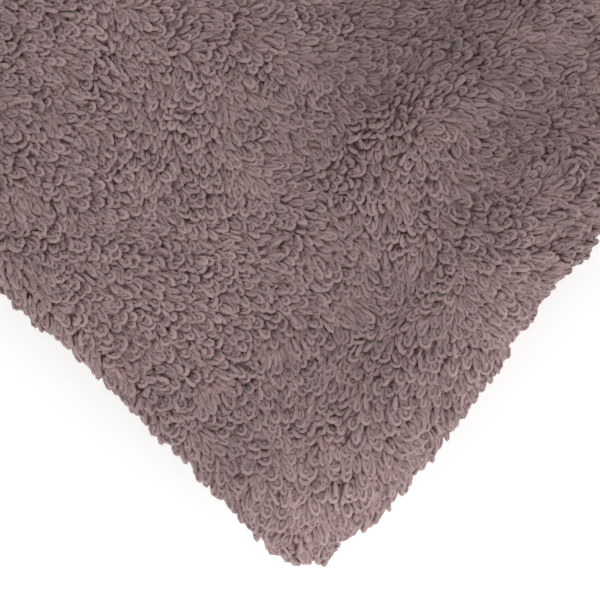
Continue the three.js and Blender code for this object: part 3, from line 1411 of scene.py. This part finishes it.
        # Each loop's tone: random, less the painted shade of the nap there.
        parts.values = {"height": height, "tint": np.repeat(self.uneven * uneven - nap.shade, len(rise))}
        map_side = math.ceil(math.sqrt(n))
        cell = np.stack([np.arange(n) % map_side, np.arange(n) // map_side], axis=1)
        inside = np.stack([np.concatenate([body.around() for body in bodies]), rise], axis=1)
        inside = self.map_margin + (1 - 2 * self.map_margin) * inside
        parts.places = {"OFBake": ((cell[:, None] + inside) / map_side).reshape(-1, 2)}
        return parts

    @staticmethod
    def _rings(shape: LoopShape, stand: Stand) -> Body:
        """Models open loops of yarn.

        Args:
            shape: their form.
            stand: how each stands.

        Returns:
            The yarn of each loop.
        """
        phi = 2 * math.pi * np.array(shape.stops)
        rise = (1 - np.cos(phi)) / 2
        out = shape.bulge * np.sin(phi) * np.sin(phi / 2) ** shape.roundness
        line, side, plane = stand.spine(rise)
        aside = (stand.wide / 2 - stand.yarn)[:, None] * out + shape.legs_apart * np.cos(phi / 2)
        centre = line + aside[..., None] * side
        ahead = unit(np.gradient(centre, axis=1))[:, 1:-1]
        first = unit(plane[:, 1:-1] - np.sum(plane[:, 1:-1] * ahead, axis=2, keepdims=True) * ahead)
        radius = stand.yarn[:, None] * (shape.slim + shape.swell * rise[1:-1] ** shape.swell_power)
        return Body.tube(centre, radius, (first, np.cross(ahead, first)), shape.sides, rise)

    @staticmethod
    def _spindle(stand: Stand, stops: Array, wide: Array, front: Array, rear: Array) -> Pair:
        """Returns the middle lines and the four-sided rings of a body of each loop, from its sizes in mm.

        Args:
            stand: how each loop stands.
            stops: shares of its length.
            wide: how far the body goes to either side.
            front: how far it goes forwards, away from its face.
            rear: how far it goes backwards.

        Returns:
            The lines and the rings.
        """
        line, side, plane = stand.spine(stops)
        hand = np.sum(np.cross(side, plane) * (line[:, -1:] - line[:, :1]), axis=2, keepdims=True)
        side = np.where(hand < 0, -side, side)
        corners = [
            line[:, 1:-1] + (wide * a)[:, None, None] * side[:, 1:-1] + b[:, None, None] * plane[:, 1:-1]
            for a, b in ((1.0, (front - rear) / 2), (0.0, front), (-1.0, (front - rear) / 2), (0.0, -rear))
        ]
        return line, np.stack(corners, axis=2)

    @classmethod
    def _hearts(cls, stand: Stand) -> Body:
        """Models the fluff that closes the rings, set back from their faces.

        Args:
            stand: how each loop stands.

        Returns:
            The hearts.
        """
        h, yarn, stops = HABIT, stand.yarn, np.array(HABIT.heart_stops)
        made = cls._spindle(stand, stops, stand.wide / 2 - yarn, yarn * h.heart, yarn * (1 - h.heart))
        return Body.ringed(*made, np.full(len(stops), h.heart_rise))

    @classmethod
    def _beads(cls, shape: LoopShape, stand: Stand) -> Body:
        """Models closed loops, for below the others and for where each is only a few pixels. As _rings."""
        rise = np.array(shape.stops)
        return Body.ringed(*cls._spindle(stand, rise, stand.wide / 2, stand.yarn, stand.yarn), rise)

    def build(self) -> list[bpy.types.Object]:
        """Makes the pieces of the pile: fine loops in the camera's close view, plainer ones further off.

        Returns:
            The pieces.
        """
        yarn = YarnFinish().build()
        made: list[bpy.types.Object] = []
        for growth in GROWTHS:
            seed = self.root_seeds[0] + self.root_seeds[1] * len(made)
            both = [self.roots(growth.density, face, seed + face) for face in (1, -1)]
            both.append(self.roots(growth.density * self.more_where_bent, 1, seed + 2, True))
            roots = Roots(*(np.concatenate([getattr(r, name) for r in both]) for name in ("at", "normal")))
            roots = roots.only(self.eye.zone_of(roots.at) == growth.zone.value)
            each = growth.shape.triangles
            order = np.argsort(roots.at[:, 0], kind="stable")
            count = math.ceil(len(roots) * each / self.most_triangles)
            for i, some in enumerate(np.array_split(order, count)):
                name = f"pile_{growth.zone.name.lower()}_{growth.name}_{i + 1}"
                seed = self.stand_seeds[0] + self.stand_seeds[1] * len(made)
                made.append(self.mesh(roots.only(some), growth.shape, seed).build(name, yarn))
                log.info("%s: %d loops, %d triangles", name, len(some), len(some) * each)
        return made


# Stitches


@dataclass
class HemStitches:
    """The row of stitches that holds each hem's turned end."""

    cloth: FoldedCloth
    ground: GroundCloth
    from_pile: float = 2.5
    stitch: float = 2.7
    gap: float = 0.5
    radius: float = 0.24
    from_side: float = 4.0
    lifts: tuple[float, ...] = (-0.12, 0.14, -0.12)
    swell: tuple[float, ...] = (0.8, 1.0, 0.8)
    shoulder: float = 0.3
    sides: int = 5

    def build(self) -> bpy.types.Object:
        """Makes the stitches of both hems, on both faces, as one piece.

        Returns:
            The piece.
        """
        c, pitch = self.cloth, self.stitch + self.gap
        from_end = c.plan.hem_length - self.from_pile
        count = int((c.width - 2 * self.from_side) / pitch)
        q = np.tile(self.from_side + (np.arange(count) + 0.5) * pitch, 2)
        s = np.repeat([from_end, c.length - from_end], count)
        rows, normals = [], []
        for face in (1, -1):
            ends = (q - self.stitch / 2, q, q + self.stitch / 2)
            heights = [face * (self.ground.half(s, e, face) + lift) for e, lift in zip(ends, self.lifts)]
            rows.append([c.place(s, e, h) for e, h in zip(ends, heights)])
            normals.append(c.frames(s, q, heights[1], face)[1])
        start, middle, end = np.concatenate(rows, axis=1)
        normal = np.concatenate(normals)
        aside = unit(np.cross(unit(end - start), normal))
        shoulders = (blend(start, middle, self.shoulder), blend(end, middle, self.shoulder))
        line = np.stack([start, shoulders[0], middle, shoulders[1], end], axis=1)
        radius = self.radius * np.array(self.swell)
        thread = Body.tube(line, radius, (aside[:, None], -normal[:, None]), self.sides, np.linspace(0, 1, 5))
        return joined([thread]).build("hem_stitches", ThreadFinish().build())


# Camera, floor and light


@dataclass
class Eye:
    """The close view of the front corner, nearly from above."""

    cloth: FoldedCloth
    azimuth: float = 41.45
    elevation: float = 88.0
    frame_width: float = 100.0
    distance: float = 620.0
    corner_pixel: Span = (305.0, 573.0)
    pile_beyond: float = 0.6
    top: float = 39.0
    close_margin: float = 2.0
    nearby_margin: float = 12.0
    lowest_close: float = 26.0
    lowest_nearby: float = 14.0

    def __post_init__(self) -> None:
        """Works out the camera's place and axes, in mm."""
        self.back = direction(self.azimuth - 90, self.elevation)
        self.right = direction(self.azimuth, 0)
        self.up = self.back.cross(self.right)
        x, y = self.cloth.corner
        corner = Vector((x + self.pile_beyond, y - self.pile_beyond, self.top))
        right, down = ((c - IMAGE_SIDE / 2) * self.frame_width / IMAGE_SIDE for c in self.corner_pixel)
        self.target = corner - self.right * right + self.up * down

    def build(self) -> None:
        """Makes the camera."""
        data = bpy.data.cameras.new("corner_view")
        data.sensor_width = 36.0
        data.lens = self.distance * data.sensor_width / self.frame_width
        data.clip_start, data.clip_end = 0.02, 20.0
        camera = bpy.data.objects.new("corner_view", data)
        bpy.context.scene.collection.objects.link(camera)
        turn = Matrix((self.right, self.up, self.back)).transposed().to_4x4()
        camera.matrix_world = Matrix.Translation((self.target + self.back * self.distance) * MM) @ turn
        bpy.context.scene.camera = camera

    def zone_of(self, at: Array) -> Array:
        """Finds the zone of each root.

        Args:
            at: their places, in mm.

        Returns:
            The values of the zones.
        """
        away = at - np.array(self.target)
        across, up = away @ np.array(self.right), away @ np.array(self.up)
        outside = np.maximum(np.abs(across), np.abs(up)) - self.frame_width / 2
        close = (outside < self.close_margin) & (at[:, 2] > self.lowest_close)
        nearby = (outside < self.nearby_margin) & (at[:, 2] > self.lowest_nearby)
        return np.where(close, Zone.CLOSE.value, np.where(nearby, Zone.NEARBY.value, Zone.FAR.value))


@dataclass(frozen=True)
class Studio:
    """A plain pale floor and soft light: an even sky, and a softbox beside the front corner."""

    cloth: FoldedCloth
    floor_size: float = 6.0
    floor_colour: Colour = (0.86, 0.86, 0.86)
    floor_glow: float = 0.35
    sky: float = 0.96
    key: float = 0.62
    key_heading: float = -16.0
    key_height: float = 42.0
    key_distance: float = 0.5
    key_side: float = 0.30

    def build(self) -> None:
        """Makes the floor and the lights."""
        scene = bpy.context.scene
        scene.view_settings.view_transform = "Standard"
        corners = np.array([(-1, -1, 0), (1, -1, 0), (1, 1, 0), (-1, 1, 0)])
        parts = MeshParts(corners * self.floor_size / 2 / MM, np.array([[0, 1, 2, 3]]))
        shader = Shader("floor_white")
        shader.set(
            Base_Color=self.floor_colour,
            Roughness=0.9,
            Specular_IOR_Level=0.1,
            Emission_Color=(1.0, 1.0, 1.0),
            Emission_Strength=self.floor_glow,
        )
        floor = parts.build("floor", shader.material)
        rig.stage(floor)
        world = bpy.data.worlds.new("studio")
        world.use_nodes = True
        sky = world.node_tree.nodes["Background"].inputs
        sky["Color"].default_value, sky["Strength"].default_value = (1.0, 1.0, 1.0, 1.0), self.sky
        scene.world = world
        box = bpy.data.lights.new("softbox", "AREA")
        box.shape, box.size = "SQUARE", self.key_side
        box.energy = self.key * math.pi * self.key_distance**2
        lamp = bpy.data.objects.new("softbox", box)
        towards = direction(self.key_heading, self.key_height)
        corner = Vector((*self.cloth.corner, self.cloth.plan.pack_height)) * MM
        lamp.location = corner + towards * self.key_distance
        lamp.rotation_mode = "QUATERNION"
        lamp.rotation_quaternion = towards.to_track_quat("Z", "Y")
        lamp.visible_camera = False
        scene.collection.objects.link(lamp)


def main() -> None:
    """Builds the towel, its view and its studio."""
    logging.basicConfig(level=logging.INFO, format="%(name)s: %(message)s")
    cloth = FoldedCloth(FoldPlan())
    cover = Cover(cloth)
    eye = Eye(cloth)
    eye.build()
    ground = GroundCloth(cloth, cover)
    sheet = ground.build()
    log.info("%s: %d faces", sheet.name, len(sheet.data.polygons))
    stitches = HemStitches(cloth, ground).build()
    pile = Pile(cloth, cover, ground, eye).build()
    Studio(cloth).build()
    for piece in (sheet, stitches, *pile):
        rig.ride(piece, BODY)
        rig.slot(piece, SLOT)
    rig.replaces(sheet, NODE)
    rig.sheet(sheet, flat=(0.70, 1.30), held="folded", with_pieces=[stitches, *pile])
    boxes = {"cad": [list(x) for x in CAD_BOX], "visual": [list(x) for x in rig.bounds()]}
    with open("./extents.json", "w") as out:
        json.dump(boxes, out)


if __name__ == "__main__":
    main()
